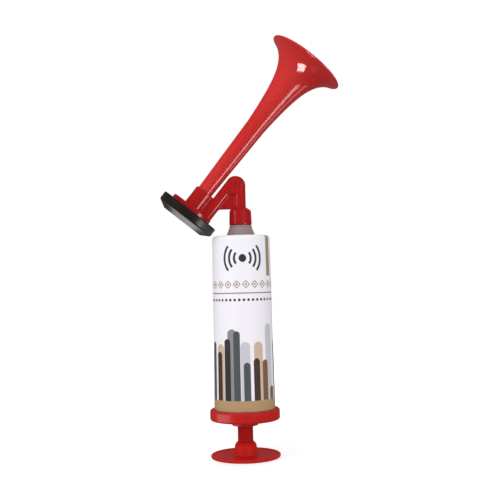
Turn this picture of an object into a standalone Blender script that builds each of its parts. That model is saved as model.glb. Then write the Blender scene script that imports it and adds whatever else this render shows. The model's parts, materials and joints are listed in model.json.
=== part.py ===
"""Hand-pump air horn, as an assembly of twelve moulded pieces.

Metres, +Z up. The pump axis is Z, and the origin is the centre of the handle disc's flat underside, on which
the horn stands. The trumpet leans towards +X and the diaphragm chamber towards -X.

Air drawn in round the plunger rod passes the piston's seal ring, is pushed up through the barrel's neck and
the elbow into the chamber, lifts the diaphragm off the throat's seat and leaves through the trumpet.
"""

import math

import bmesh
import bpy
from mathutils import Matrix, Vector

# Clearances
FIT_GAP = 0.0003  # between pieces that are pressed together or rest on each other
SEAL_GAP = 0.0001  # between the seal ring and the bore
GUIDE_GAP = 0.0008  # between the rod and the end cap's guide, where air is drawn in
FLANGE_GAP = 0.0006  # between the piston's flanges and the bore

# Handle and rod
HANDLE_RADIUS = 0.0198
HANDLE_THICKNESS = 0.0018
HANDLE_RIM_WIDTH = 0.0016
HANDLE_DISH = 0.0004
HUB_FOOT_RADIUS = 0.0069
HUB_TOP_RADIUS = 0.0061
HUB_HEIGHT = 0.0068
HUB_CHAMFER = 0.0014
ROD_RADIUS = 0.0044
ROD_WALL = 0.0015
ROD_END_LENGTH = 0.0060  # solid stretch under the rod's shoulder
GRIP_GAP = 0.0162  # from the handle disc to the end cap's boss, plunger pushed in

# End cap
CAP_RADIUS = 0.0199
CAP_HEIGHT = 0.0062
CAP_FLOOR = 0.0015
CAP_ROUNDING = 0.0012
BOSS_RADIUS = 0.0076
BOSS_DROP = 0.0032

# Barrel
BARREL_LENGTH = 0.1023
BARREL_TOP_RADIUS = 0.0160
BARREL_DRAFT = math.radians(0.5)
BARREL_WALL = 0.0016
SHOULDER_THICKNESS = 0.0018
SHOULDER_ROUNDING = 0.0013
NECK_FOOT_RADIUS = 0.0086
NECK_TOP_RADIUS = 0.0063
NECK_HEIGHT = 0.0065
NECK_LIP = 0.0008
NECK_BORE_RADIUS = 0.0032
SPIGOT_RADIUS = 0.0049
SPIGOT_LENGTH = 0.0075

# Label sleeve
SLEEVE_THICKNESS = 0.0003
SLEEVE_OVERLAP = 0.0035  # how far the film turns in over the shoulder

# Piston and seal ring
FLANGE_TOP = 0.0016
FLANGE_FOOT = 0.0018
SEAL_SECTION_RADIUS = 0.0013
SEAL_TRAVEL = 0.0012
INLET_NOTCHES = 6
INLET_NOTCH_WIDTH = 0.0030
INLET_NOTCH_DEPTH = 0.0006  # below the groove's floor
PISTON_HUB_RADIUS = 0.0062
PISTON_HUB_LENGTH = 0.0100
SNAP_NECK_RADIUS = 0.0030
SNAP_NECK_LENGTH = 0.0070
SNAP_CATCH = 0.00055  # how far the snap head stands out over its neck
SNAP_HEAD_LENGTH = 0.0032

# Horn head: socket and elbow
SOCKET_RADIUS = 0.0065
SOCKET_TOP_RADIUS = 0.0062
SOCKET_HEIGHT = 0.0083
SOCKET_SHOULDER = 0.0018
PIPE_RADIUS = 0.0033
PIPE_BORE_RADIUS = 0.0019
BEND_RADIUS = 0.0024  # of the pipe's centre line
BEND_SWELL = 0.00006  # how far the bend stands out over the pipes
BEND_OVERRUN = math.radians(4)  # how far it carries on past either pipe's end
PIPE_OVERLAP = 0.0005  # how far the pipes run into it
APEX_HEIGHT = 0.0296  # where the two pipes' centre lines meet, above the socket's foot
TRUMPET_LEAN = math.radians(39.2)
TRUMPET_OFFSET = 0.00937  # from the slanted pipe's centre line to the trumpet's
WEB_THICKNESS = 0.0024
WEB_FOOT_HEIGHT = 0.0093  # above the socket's foot

# Horn head: chamber and collar, measured along the trumpet's axis
CHAMBER_DROP = 0.0315  # from level with the apex down to the flange's face
FLANGE_RADIUS = 0.0130
CHAMBER_RADIUS = 0.0114
CHAMBER_ROOF = 0.0015
CHAMBER_DEPTH = 0.0034
CLAMP_RIM_RADIUS = 0.0162
CLAMP_RIM_THICKNESS = 0.0014
THROAT_RADIUS = 0.0033
THROAT_WALL = 0.0015
COLLAR_RADIUS = 0.00565
COLLAR_LENGTH = 0.0113
TRUMPET_STOP_DEPTH = 0.0110  # how deep the trumpet goes into the collar

# Diaphragm, its ring and its cap
FILM_THICKNESS = 0.0003
RING_THICKNESS = 0.0009
RING_WIDTH = 0.0035
BACK_CAP_RADIUS = 0.0182
BACK_CAP_WALL = 0.0017
BACK_CAP_FLOOR = 0.0015
BACK_CAP_FACE_RADIUS = 0.0130
BACK_CAP_BEVEL = 0.0030
BACK_CAP_REACH = 0.0011  # from the clamp rim's front up to the cap's edge
BACK_SPACE = 0.00185  # from the ring's ledge to the cap's floor
LEDGE_WIDTH = 0.0021
SNAP_BEAD = 0.0006
VENT_RADIUS = 0.0010

# Trumpet
TRUMPET_TUBE_RADIUS = 0.00457
TRUMPET_TAPER = 0.0257  # growth of the radius along the straight tube
TRUMPET_REACH = 0.0743  # from level with the apex to the mouth
TRUMPET_WALL = 0.0012
MOUTH_RADIUS = 0.0238
FLARE_LENGTH = 0.0465
FLARE_CURL = 0.0079  # the smaller, the more suddenly the mouth opens

# Edges
CRISP_EDGE = 0.0002
SOFT_EDGE = 0.0003
ROUND_EDGE = 0.0005
HANDLE_ROUNDING = 0.0008
ARC_SHARE = 0.45

# Faceting
FACETS = 32
SMALL_FACETS = 20
ARC_STEPS = 2
BEND_STEPS = 7
FLARE_STEPS = 11
LIP_STEPS = 4
SEAL_FACETS = 10
SHARP_ANGLE = math.radians(35)

# Levels along the pump axis
boss_foot = HANDLE_THICKNESS + GRIP_GAP
cap_foot = boss_foot + BOSS_DROP
cap_floor = cap_foot + CAP_FLOOR
cap_top = cap_foot + CAP_HEIGHT
barrel_foot = cap_floor + FIT_GAP
shoulder = barrel_foot + BARREL_LENGTH
neck_top = shoulder + NECK_HEIGHT
spigot_top = neck_top + SPIGOT_LENGTH
bore_top = shoulder - SHOULDER_THICKNESS
bore_radius = BARREL_TOP_RADIUS - BARREL_WALL
socket_foot = neck_top + FIT_GAP

# Levels and radii of the piston, from its top down
piston_top = bore_top - FIT_GAP
groove_top = piston_top - FLANGE_TOP
groove_foot = groove_top - 2 * SEAL_SECTION_RADIUS - SEAL_TRAVEL
piston_skirt = groove_foot - FLANGE_FOOT
piston_foot = piston_skirt - PISTON_HUB_LENGTH
flange_radius = bore_radius - FLANGE_GAP
seal_radius = bore_radius - SEAL_GAP - SEAL_SECTION_RADIUS
groove_radius = seal_radius - SEAL_SECTION_RADIUS - FIT_GAP
rod_shoulder = piston_foot - FIT_GAP
snap_ledge = rod_shoulder + SNAP_NECK_LENGTH
snap_top = snap_ledge + SNAP_HEAD_LENGTH

# Levels along the trumpet's axis, from level with the apex
flange_face = -CHAMBER_DROP
collar_top = flange_face + COLLAR_LENGTH
trumpet_foot = collar_top - TRUMPET_STOP_DEPTH + FIT_GAP
chamber_roof = flange_face - CHAMBER_ROOF
seat = chamber_roof - CHAMBER_DEPTH
rim_face = seat + CLAMP_RIM_THICKNESS
film_top = seat - FIT_GAP
ring_top = film_top - FILM_THICKNESS - FIT_GAP
ledge = ring_top - RING_THICKNESS - FIT_GAP
back_cap_edge = rim_face + BACK_CAP_REACH
back_cap_inside = ledge - BACK_SPACE
back_cap_face = back_cap_inside - BACK_CAP_FLOOR
back_cap_inner_radius = CLAMP_RIM_RADIUS + FIT_GAP
back_cap_radius = max(BACK_CAP_RADIUS, back_cap_inner_radius + BACK_CAP_WALL)


def clear_scene():
    for item in list(bpy.data.objects):
        bpy.data.objects.remove(item, do_unlink=True)


def plastic(name, colour, roughness, metallic=0.0):
    """Principled material of one colour."""
    material = bpy.data.materials.new(name)
    material.use_nodes = True
    shader = material.node_tree.nodes["Principled BSDF"]
    shader.inputs["Base Color"].default_value = (*colour, 1.0)
    shader.inputs["Roughness"].default_value = roughness
    shader.inputs["Metallic"].default_value = metallic
    material.diffuse_color = (*colour, 1.0)
    return material


def empty(name, parent=None, matrix=None):
    """Axis marker that pieces are hung from."""
    marker = bpy.data.objects.new(name, None)
    marker.empty_display_size = 0.01
    bpy.context.collection.objects.link(marker)
    marker.parent = parent
    marker.matrix_local = matrix or Matrix.Identity(4)
    return marker


def placed(name, shape, parent, material=None):
    """Object of a bmesh, hung from an axis marker and shaded smooth but for its edges."""
    mesh = bpy.data.meshes.new(name)
    shape.to_mesh(mesh)
    shape.free()
    mesh.shade_smooth()
    mesh.set_sharp_from_angle(angle=SHARP_ANGLE)
    if material:
        mesh.materials.append(material)
    item = bpy.data.objects.new(name, mesh)
    bpy.context.collection.objects.link(item)
    item.parent = parent
    return item


def tool(name, shape, parent):
    """Shape that is only cut from another piece or joined to it."""
    item = placed(name, shape, parent)
    item.hide_render = True
    item.display_type = "WIRE"
    return item


def boolean(item, operation, other):
    step = item.modifiers.new(other.name, "BOOLEAN")
    step.solver = "EXACT"
    step.operation = operation
    step.object = other


def rounded(corners):
    """Outline of (radius, height, rounding) corners, with an arc at each corner that has a rounding.

    The arc touches both sides of its corner, and takes up at most ARC_SHARE of the shorter side.
    """
    outline = []
    for index, (radius, height, rounding) in enumerate(corners):
        corner = Vector((radius, height))
        if rounding <= 0:
            outline.append(corner)
            continue
        before = Vector(corners[index - 1][:2]) - corner
        after = Vector(corners[(index + 1) % len(corners)][:2]) - corner
        half = before.angle(after) / 2
        reach = min(rounding / math.tan(half), ARC_SHARE * before.length, ARC_SHARE * after.length)
        bisector = (before.normalized() + after.normalized()).normalized()
        centre = corner + bisector * reach / math.cos(half)
        start = corner + before.normalized() * reach - centre
        end = corner + after.normalized() * reach - centre
        turn = start.angle_signed(end)
        for step in range(ARC_STEPS + 1):
            angle = -turn * step / ARC_STEPS
            outline.append(centre + Matrix.Rotation(angle, 2) @ start)
    return outline


def turned(outline, facets=FACETS):
    """Body of a closed outline of (radius, height) points turned once round Z."""
    shape = bmesh.new()
    points = [shape.verts.new((radius, 0, height)) for radius, height in outline]
    for point, following in zip(points, points[1:] + points[:1]):
        if point.co.x > 0 or following.co.x > 0:
            shape.edges.new((point, following))
    bmesh.ops.spin(
        shape,
        geom=shape.verts[:] + shape.edges[:],
        cent=(0, 0, 0),
        axis=(0, 0, 1),
        angle=2 * math.pi,
        steps=facets,
        use_merge=True,
    )
    bmesh.ops.remove_doubles(shape, verts=shape.verts[:], dist=1e-7)
    bmesh.ops.recalc_face_normals(shape, faces=shape.faces[:])
    return shape


def lofted(rings):
    """Body skinned over rings of points, with a flat cap at either end."""
    shape = bmesh.new()
    loops = [[shape.verts.new(point) for point in ring] for ring in rings]
    for low, high in zip(loops, loops[1:]):
        for index in range(len(low)):
            following = (index + 1) % len(low)
            shape.faces.new((low[index], low[following], high[following], high[index]))
    shape.faces.new(loops[0][::-1])
    shape.faces.new(loops[-1])
    bmesh.ops.recalc_face_normals(shape, faces=shape.faces[:])
    return shape


def slab(corners, thickness):
    """Plate of a polygon of (x, z) corners, centred on the XZ plane."""
    near = [Vector((x, -thickness / 2, z)) for x, z in corners]
    far = [Vector((x, thickness / 2, z)) for x, z in corners]
    return lofted([near, far])


def ring_points(centre, outward, radius, facets, floor=None):
    """Circle square to the pipe at centre. Points don't come nearer than floor to the bend's centre."""
    points = []
    for step in range(facets):
        angle = 2 * math.pi * step / facets
        out = radius * math.cos(angle)
        if floor is not None:
            out = max(out, floor)
        points.append(centre + outward * out + Vector((0, radius * math.sin(angle), 0)))
    return points


def straight_pipe(start, end, radius, facets=SMALL_FACETS):
    """Round bar between two points of the XZ plane."""
    along = (end - start).normalized()
    outward = Vector((along.z, 0, -along.x))
    return lofted([ring_points(point, outward, radius, facets) for point in (start, end)])


def barrel_radius(height):
    """Outer radius of the drafted barrel, widest at its foot."""
    return BARREL_TOP_RADIUS + (shoulder - height) * math.tan(BARREL_DRAFT)


def pump_barrel(parent):
    body = rounded(
        [
            (barrel_radius(barrel_foot), barrel_foot, SOFT_EDGE),
            (BARREL_TOP_RADIUS, shoulder, SHOULDER_ROUNDING),
            (NECK_FOOT_RADIUS, shoulder, 0),
            (NECK_TOP_RADIUS, neck_top - NECK_LIP, 0),
            (SOCKET_RADIUS, neck_top - NECK_LIP, 0),
            (SOCKET_RADIUS, neck_top, CRISP_EDGE),
            (SPIGOT_RADIUS, neck_top, 0),
            (SPIGOT_RADIUS, spigot_top, ROUND_EDGE),
            (NECK_BORE_RADIUS, spigot_top, 0),
            (NECK_BORE_RADIUS, bore_top, 0),
            (bore_radius, bore_top, CRISP_EDGE),
            (bore_radius, barrel_foot, CRISP_EDGE),
        ]
    )
    placed("pump_barrel", turned(body), parent, plastic("barrel_grey", (0.27, 0.19, 0.19), 0.35))


def label_sleeve(parent):
    foot = cap_top + FIT_GAP
    inner = FIT_GAP
    outer = FIT_GAP + SLEEVE_THICKNESS
    lip = BARREL_TOP_RADIUS - SLEEVE_OVERLAP
    film = rounded(
        [
            (barrel_radius(foot) + outer, foot, 0),
            (BARREL_TOP_RADIUS + outer, shoulder + outer, SHOULDER_ROUNDING + outer),
            (lip, shoulder + outer, 0),
            (lip, shoulder + inner, 0),
            (BARREL_TOP_RADIUS + inner, shoulder + inner, SHOULDER_ROUNDING + inner),
            (barrel_radius(foot) + inner, foot, 0),
        ]
    )
    placed("label_sleeve", turned(film), parent, plastic("label_white", (0.78, 0.74, 0.78), 0.3))


def end_cap(parent):
    guide = ROD_RADIUS + GUIDE_GAP
    cup = barrel_radius(barrel_foot) + FIT_GAP
    cap = rounded(
        [
            (guide, boss_foot, SOFT_EDGE),
            (BOSS_RADIUS, boss_foot, ROUND_EDGE),
            (BOSS_RADIUS, cap_foot, SOFT_EDGE),
            (CAP_RADIUS, cap_foot, CAP_ROUNDING),
            (CAP_RADIUS, cap_top, CAP_ROUNDING),
            (cup, cap_top, CRISP_EDGE),
            (cup, cap_floor, 0),
            (guide, cap_floor, SOFT_EDGE),
        ]
    )
    placed("end_cap", turned(cap), parent, plastic("end_cap_red", (0.60, 0.03, 0.025), 0.25))


def handle(parent):
    dish = HANDLE_THICKNESS - HANDLE_DISH
    rim = HANDLE_RADIUS - HANDLE_RIM_WIDTH
    hub_top = HANDLE_THICKNESS + HUB_HEIGHT
    socket = ROD_RADIUS + FIT_GAP
    peg = ROD_RADIUS - ROD_WALL - FIT_GAP
    disc = rounded(
        [
            (0, 0, 0),
            (HANDLE_RADIUS, 0, HANDLE_ROUNDING),
            (HANDLE_RADIUS, HANDLE_THICKNESS, HANDLE_ROUNDING),
            (rim, HANDLE_THICKNESS, SOFT_EDGE),
            (rim - HANDLE_DISH, dish, SOFT_EDGE),
            (HUB_FOOT_RADIUS, dish, ROUND_EDGE),
            (HUB_TOP_RADIUS, hub_top - HUB_CHAMFER, SOFT_EDGE),
            (socket + FIT_GAP, hub_top, 0),
            (socket, hub_top, 0),
            (socket, HANDLE_THICKNESS, 0),
            (peg, HANDLE_THICKNESS, 0),
            (peg, hub_top, ROUND_EDGE),
            (0, hub_top, 0),
        ]
    )
    placed("handle", turned(disc), parent, plastic("handle_red", (0.58, 0.02, 0.02), 0.25))


def plunger_rod(parent):
    foot = HANDLE_THICKNESS + FIT_GAP
    bore = ROD_RADIUS - ROD_WALL
    bore_end = rod_shoulder - ROD_END_LENGTH
    head = SNAP_NECK_RADIUS + SNAP_CATCH
    rod = rounded(
        [
            (0, bore_end, 0),
            (bore, bore_end, ROUND_EDGE),
            (bore, foot, 0),
            (ROD_RADIUS, foot, SOFT_EDGE),
            (ROD_RADIUS, rod_shoulder, SOFT_EDGE),
            (SNAP_NECK_RADIUS, rod_shoulder, 0),
            (SNAP_NECK_RADIUS, snap_ledge, 0),
            (head, snap_ledge, 0),
            (head, snap_ledge + SNAP_HEAD_LENGTH / 3, 0),
            (SNAP_NECK_RADIUS - SNAP_CATCH, snap_top, 0),
            (0, snap_top, 0),
        ]
    )
    rod_shape = turned(rod, SMALL_FACETS)
    placed("plunger_rod", rod_shape, parent, plastic("rod_red", (0.50, 0.02, 0.02), 0.25))


def inlet_notches(parent):
    """Radial slots through the upper flange, evenly spaced, deeper than the groove's floor."""
    low = (groove_top + groove_foot) / 2
    high = piston_top + FLANGE_TOP
    inside = groove_radius - INLET_NOTCH_DEPTH
    outside = bore_radius + FLANGE_GAP
    shape = bmesh.new()
    size = Vector((outside - inside, INLET_NOTCH_WIDTH, high - low))
    middle = Vector(((outside + inside) / 2, 0, (high + low) / 2))
    for index in range(INLET_NOTCHES):
        turn = Matrix.Rotation(2 * math.pi * index / INLET_NOTCHES, 4, "Z")
        place = turn @ Matrix.Translation(middle) @ Matrix.Diagonal((*size, 1))
        bmesh.ops.create_cube(shape, size=1, matrix=place)
    return tool("inlet_notches", shape, parent)


def piston_head(parent):
    neck = SNAP_NECK_RADIUS + FIT_GAP
    pocket = SNAP_NECK_RADIUS + SNAP_CATCH + FIT_GAP
    pocket_foot = snap_ledge - FIT_GAP
    pocket_top = snap_top + FIT_GAP
    hub = max(PISTON_HUB_RADIUS, pocket + 2 * FIT_GAP)
    body = rounded(
        [
            (0, pocket_top, 0),
            (pocket, pocket_top, SOFT_EDGE),
            (pocket, pocket_foot, 0),
            (neck, pocket_foot, 0),
            (neck, piston_foot, SOFT_EDGE),
            (hub, piston_foot, ROUND_EDGE),
            (hub, piston_skirt, ROUND_EDGE),
            (flange_radius, piston_skirt, CRISP_EDGE),
            (flange_radius, groove_foot, 0),
            (groove_radius, groove_foot, 0),
            (groove_radius, groove_top, 0),
            (flange_radius, groove_top, 0),
            (flange_radius, piston_top, CRISP_EDGE),
            (0, piston_top, 0),
        ]
    )
    head = placed("piston_head", turned(body), parent, plastic("piston_white", (0.62, 0.62, 0.60), 0.4))
    boolean(head, "DIFFERENCE", inlet_notches(parent))


def seal_ring(parent):
    """Round-section ring that rests on the groove's lower side."""
    level = groove_foot + SEAL_SECTION_RADIUS + SEAL_GAP
    section = []
    for step in range(SEAL_FACETS):
        angle = 2 * math.pi * step / SEAL_FACETS
        radius = seal_radius + SEAL_SECTION_RADIUS * math.cos(angle)
        section.append((radius, level + SEAL_SECTION_RADIUS * math.sin(angle)))
    placed("seal_ring", turned(section), parent, plastic("seal_black", (0.02, 0.02, 0.02), 0.5))


def elbow_frame():
    """Apex, bend centre and directions of the elbow, in the horn head's frame."""
    apex = Vector((0, 0, APEX_HEIGHT))
    slant = Vector((-math.sin(TRUMPET_LEAN), 0, -math.cos(TRUMPET_LEAN)))
    half = TRUMPET_LEAN / 2
    bisector = Vector((-math.sin(half), 0, -math.cos(half)))
    centre = apex + bisector * BEND_RADIUS / math.sin(half)
    return apex, slant, centre


def bend_outward(angle):
    """Direction away from the bend's centre, from +X round towards +Z."""
    return Vector((math.cos(angle), 0, math.sin(angle)))


def elbow_bend(parent):
    """Knuckle over the two pipes' ends: a circle carried round the bend, held off the bend's centre."""
    centre = elbow_frame()[2]
    sweep = math.pi - TRUMPET_LEAN
    radius = PIPE_RADIUS + BEND_SWELL
    rings = []
    for step in range(BEND_STEPS + 1):
        angle = -BEND_OVERRUN + (sweep + 2 * BEND_OVERRUN) * step / BEND_STEPS
        outward = bend_outward(angle)
        middle = centre + outward * BEND_RADIUS
        floor = BEND_SWELL * 3 - BEND_RADIUS
        rings.append(ring_points(middle, outward, radius, SMALL_FACETS, floor))
    return tool("elbow_bend", lofted(rings), parent)


def elbow_pipes(parent):
    """Upright pipe from inside the socket's roof and slanted pipe down into the chamber's roof."""
    apex, slant, centre = elbow_frame()
    foot = Vector((0, 0, SOCKET_HEIGHT + SOCKET_SHOULDER / 2))
    top = Vector((0, 0, centre.z + PIPE_OVERLAP))
    bend_end = centre + bend_outward(math.pi - TRUMPET_LEAN) * BEND_RADIUS
    chamber = apex + slant * (CHAMBER_DROP + CHAMBER_ROOF / 2)
    upright = tool("elbow_upright", straight_pipe(foot, top, PIPE_RADIUS), parent)
    slanted = tool("elbow_slanted", straight_pipe(bend_end - slant * PIPE_OVERLAP, chamber, PIPE_RADIUS), parent)
    return [upright, slanted]


def elbow_bore(parent):
    """Air passage from the socket round the bend to the chamber, in one sweep."""
    apex, slant, centre = elbow_frame()
    sweep = math.pi - TRUMPET_LEAN
    facets = SMALL_FACETS // 2
    start = Vector((0, 0, SPIGOT_LENGTH))
    end = apex + slant * (CHAMBER_DROP + CHAMBER_ROOF + CHAMBER_DEPTH / 2)
    rings = [ring_points(start, bend_outward(0), PIPE_BORE_RADIUS, facets)]
    for step in range(BEND_STEPS + 1):
        outward = bend_outward(sweep * step / BEND_STEPS)
        rings.append(ring_points(centre + outward * BEND_RADIUS, outward, PIPE_BORE_RADIUS, facets))
    rings.append(ring_points(end, bend_outward(sweep), PIPE_BORE_RADIUS, facets))
    return tool("elbow_bore", lofted(rings), parent)


def elbow_web(parent):
    """Flat web between the two pipes, level along its foot."""
    apex, slant, centre = elbow_frame()
    reach = (APEX_HEIGHT - WEB_FOOT_HEIGHT) / -slant.z
    foot = apex + slant * reach
    corners = [(0, WEB_FOOT_HEIGHT), (0, centre.z), (centre.x + slant.x * BEND_RADIUS, centre.z), (foot.x, foot.z)]
    return tool("elbow_web", slab(corners, WEB_THICKNESS), parent)


def collar_bridge(parent, trumpet_frame):
    """Rib that ties the collar to the slanted pipe, from the flange to the collar's top."""
    inner = COLLAR_RADIUS - (COLLAR_RADIUS - TRUMPET_TUBE_RADIUS - FIT_GAP) / 2
    low = flange_face - CHAMBER_ROOF / 2
    high = collar_top - FIT_GAP
    outer = TRUMPET_OFFSET - PIPE_RADIUS / 2
    shape = slab([(inner, low), (outer, low), (outer, high), (inner, high)], 2 * WEB_THICKNESS)
    shape.transform(trumpet_frame)
    return tool("collar_bridge", shape, parent)


def socket(parent):
    """Cup that goes over the barrel's spigot, with a sloping shoulder up to the pipe."""
    recess = SPIGOT_RADIUS + FIT_GAP
    recess_top = SPIGOT_LENGTH + FIT_GAP
    top = SOCKET_HEIGHT + SOCKET_SHOULDER
    cup = rounded(
        [
            (0, recess_top, 0),
            (recess, recess_top, 0),
            (recess, 0, CRISP_EDGE),
            (SOCKET_RADIUS, 0, CRISP_EDGE),
            (SOCKET_TOP_RADIUS, SOCKET_HEIGHT, ROUND_EDGE),
            (PIPE_RADIUS + FIT_GAP, top, 0),
            (0, top, 0),
        ]
    )
    return tool("socket", turned(cup), parent)


def horn_body(parent, trumpet_frame):
    """Chamber and collar, turned round the trumpet's axis, joined to the elbow and the socket."""
    collar_bore = TRUMPET_TUBE_RADIUS + FIT_GAP
    throat = rounded(
        [
            (collar_bore, collar_top, CRISP_EDGE),
            (collar_bore, collar_top - TRUMPET_STOP_DEPTH, 0),
            (THROAT_RADIUS, collar_top - TRUMPET_STOP_DEPTH, 0),
            (THROAT_RADIUS, seat, CRISP_EDGE),
            (THROAT_RADIUS + THROAT_WALL, seat, CRISP_EDGE),
            (THROAT_RADIUS + THROAT_WALL, chamber_roof, SOFT_EDGE),
            (CHAMBER_RADIUS, chamber_roof, SOFT_EDGE),
            (CHAMBER_RADIUS, seat, 0),
            (CLAMP_RIM_RADIUS, seat, CRISP_EDGE),
            (CLAMP_RIM_RADIUS, rim_face, CRISP_EDGE),
            (FLANGE_RADIUS, rim_face, 0),
            (FLANGE_RADIUS, flange_face, ROUND_EDGE),
            (COLLAR_RADIUS, flange_face, ROUND_EDGE),
            (COLLAR_RADIUS, collar_top, SOFT_EDGE),
        ]
    )
    shape = turned(throat)
    shape.transform(trumpet_frame)
    body = placed("horn_body", shape, parent, plastic("horn_red", (0.55, 0.02, 0.02), 0.25))
    boolean(body, "UNION", collar_bridge(parent, trumpet_frame))
    for pipe in elbow_pipes(parent):
        boolean(body, "UNION", pipe)
    boolean(body, "UNION", elbow_bend(parent))
    boolean(body, "UNION", elbow_web(parent))
    boolean(body, "UNION", socket(parent))
    boolean(body, "DIFFERENCE", elbow_bore(parent))


def flare_outline():
    """Outer line of the trumpet above the collar, as (radius, level, slope).

    The radius grows steadily along the tube. Over the flare it grows besides as one over the distance to a
    point FLARE_CURL past the mouth, less its value where the flare starts.
    """
    far = FLARE_LENGTH + FLARE_CURL
    tube_mouth = TRUMPET_TUBE_RADIUS + TRUMPET_TAPER * (TRUMPET_REACH - collar_top)
    lip = TRUMPET_WALL / 2
    gain = (MOUTH_RADIUS - lip - tube_mouth) / (1 / FLARE_CURL - 1 / far)
    line = []
    for step in range(FLARE_STEPS + 1):
        distance = far * (FLARE_CURL / far) ** (step / FLARE_STEPS)
        level = TRUMPET_REACH + FLARE_CURL - distance
        tube = TRUMPET_TUBE_RADIUS + TRUMPET_TAPER * (level - collar_top)
        radius = tube + gain * (1 / distance - 1 / far)
        line.append((radius, level, TRUMPET_TAPER + gain / distance**2))
    return line


def trumpet(parent):
    """Tapered tube with a flared mouth. The inner line runs one wall inside the outer, measured square to it."""
    bore = TRUMPET_TUBE_RADIUS - TRUMPET_WALL
    outer = [Vector((TRUMPET_TUBE_RADIUS, trumpet_foot)), Vector((TRUMPET_TUBE_RADIUS, collar_top))]
    inner = [Vector((bore, trumpet_foot)), Vector((bore, collar_top))]
    for radius, level, slope in flare_outline():
        inward = Vector((-1, slope)).normalized()
        outer.append(Vector((radius, level)))
        inner.append(outer[-1] + inward * TRUMPET_WALL)
    middle = (outer[-1] + inner[-1]) / 2
    spoke = outer[-1] - middle
    lip = [middle + Matrix.Rotation(math.pi * step / LIP_STEPS, 2) @ spoke for step in range(1, LIP_STEPS)]
    outline = outer + lip + inner[::-1]
    placed("trumpet", turned(outline), parent, plastic("trumpet_red", (0.60, 0.03, 0.02), 0.15))


def diaphragm(parent):
    radius = CLAMP_RIM_RADIUS
    film = [(0, film_top), (0, film_top - FILM_THICKNESS), (radius, film_top - FILM_THICKNESS), (radius, film_top)]
    placed("diaphragm", turned(film), parent, plastic("film_clear", (0.75, 0.75, 0.70), 0.2))


def diaphragm_ring(parent):
    low = ring_top - RING_THICKNESS
    outer = CLAMP_RIM_RADIUS
    inner = CLAMP_RIM_RADIUS - RING_WIDTH
    ring = [(inner, low), (outer, low), (outer, ring_top), (inner, ring_top)]
    placed("diaphragm_ring", turned(ring), parent, plastic("ring_grey", (0.20, 0.20, 0.20), 0.5))


def diaphragm_cap(parent):
    bead = back_cap_inner_radius - SNAP_BEAD
    bead_foot = rim_face + FIT_GAP
    ledge_inner = back_cap_inner_radius - LEDGE_WIDTH
    cup = rounded(
        [
            (VENT_RADIUS, back_cap_face, 0),
            (BACK_CAP_FACE_RADIUS, back_cap_face, ROUND_EDGE),
            (back_cap_radius, back_cap_face + BACK_CAP_BEVEL, ROUND_EDGE),
            (back_cap_radius, back_cap_edge, ROUND_EDGE),
            (bead, back_cap_edge, CRISP_EDGE),
            (bead, bead_foot, 0),
            (back_cap_inner_radius, bead_foot, 0),
            (back_cap_inner_radius, ledge, 0),
            (ledge_inner, ledge, 0),
            (ledge_inner - LEDGE_WIDTH, back_cap_inside, SOFT_EDGE),
            (VENT_RADIUS, back_cap_inside, 0),
        ]
    )
    placed("diaphragm_cap", turned(cup), parent, plastic("cap_black", (0.03, 0.027, 0.025), 0.3))


def main():
    clear_scene()
    pump = empty("pump_axis")
    plunger = empty("plunger_axis", pump)
    swivel = empty("swivel_axis", pump, Matrix.Translation((0, 0, socket_foot)))
    apex = elbow_frame()[0]
    lean = Matrix.Rotation(TRUMPET_LEAN, 4, "Y")
    across = lean @ Vector((TRUMPET_OFFSET, 0, 0))
    trumpet_frame = Matrix.Translation(apex - across) @ lean
    trumpet_axis = empty("trumpet_axis", swivel, trumpet_frame)

    pump_barrel(pump)
    label_sleeve(pump)
    end_cap(pump)
    handle(plunger)
    plunger_rod(plunger)
    piston_head(plunger)
    seal_ring(plunger)
    horn_body(swivel, trumpet_frame)
    trumpet(trumpet_axis)
    diaphragm(trumpet_axis)
    diaphragm_ring(trumpet_axis)
    diaphragm_cap(trumpet_axis)


main()
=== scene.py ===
"""Looks of a hand-pumped air horn: fine surfaces, moulded plastic, a printed label, studio light and camera.

Metres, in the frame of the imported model: the pump axis is Z, the horn stands on its handle disc at the
origin, and the trumpet leans towards +X. Every outer piece is turned or swept again with fine rounding, on
levels and radii read from the frame. The four pieces inside keep their meshes and get a finish.
"""

import json
import math

import bmesh
import bpy
import numpy as np
from mathutils import Matrix, Vector

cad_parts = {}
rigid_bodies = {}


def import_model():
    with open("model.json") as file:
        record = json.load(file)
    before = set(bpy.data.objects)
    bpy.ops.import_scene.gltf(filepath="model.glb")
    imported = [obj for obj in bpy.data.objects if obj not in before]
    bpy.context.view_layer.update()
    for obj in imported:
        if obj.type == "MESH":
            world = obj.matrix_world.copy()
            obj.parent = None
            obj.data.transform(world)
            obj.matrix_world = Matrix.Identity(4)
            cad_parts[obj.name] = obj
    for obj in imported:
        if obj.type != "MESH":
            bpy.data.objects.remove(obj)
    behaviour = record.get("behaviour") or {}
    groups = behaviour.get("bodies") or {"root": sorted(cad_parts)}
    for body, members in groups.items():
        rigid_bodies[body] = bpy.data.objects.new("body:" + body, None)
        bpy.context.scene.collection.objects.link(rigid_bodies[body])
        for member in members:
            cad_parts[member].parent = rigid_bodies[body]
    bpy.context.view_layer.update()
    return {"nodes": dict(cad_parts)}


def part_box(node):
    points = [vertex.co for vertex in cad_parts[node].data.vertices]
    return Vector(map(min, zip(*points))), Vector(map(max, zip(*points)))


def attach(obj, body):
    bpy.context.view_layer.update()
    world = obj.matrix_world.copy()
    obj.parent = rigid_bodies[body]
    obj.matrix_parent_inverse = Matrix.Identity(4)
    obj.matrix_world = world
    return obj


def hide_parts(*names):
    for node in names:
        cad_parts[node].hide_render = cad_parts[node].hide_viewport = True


# The scene starts empty, and holds the frame as it was packed
for leftover in list(bpy.data.objects):
    bpy.data.objects.remove(leftover, do_unlink=True)
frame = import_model()

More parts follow.
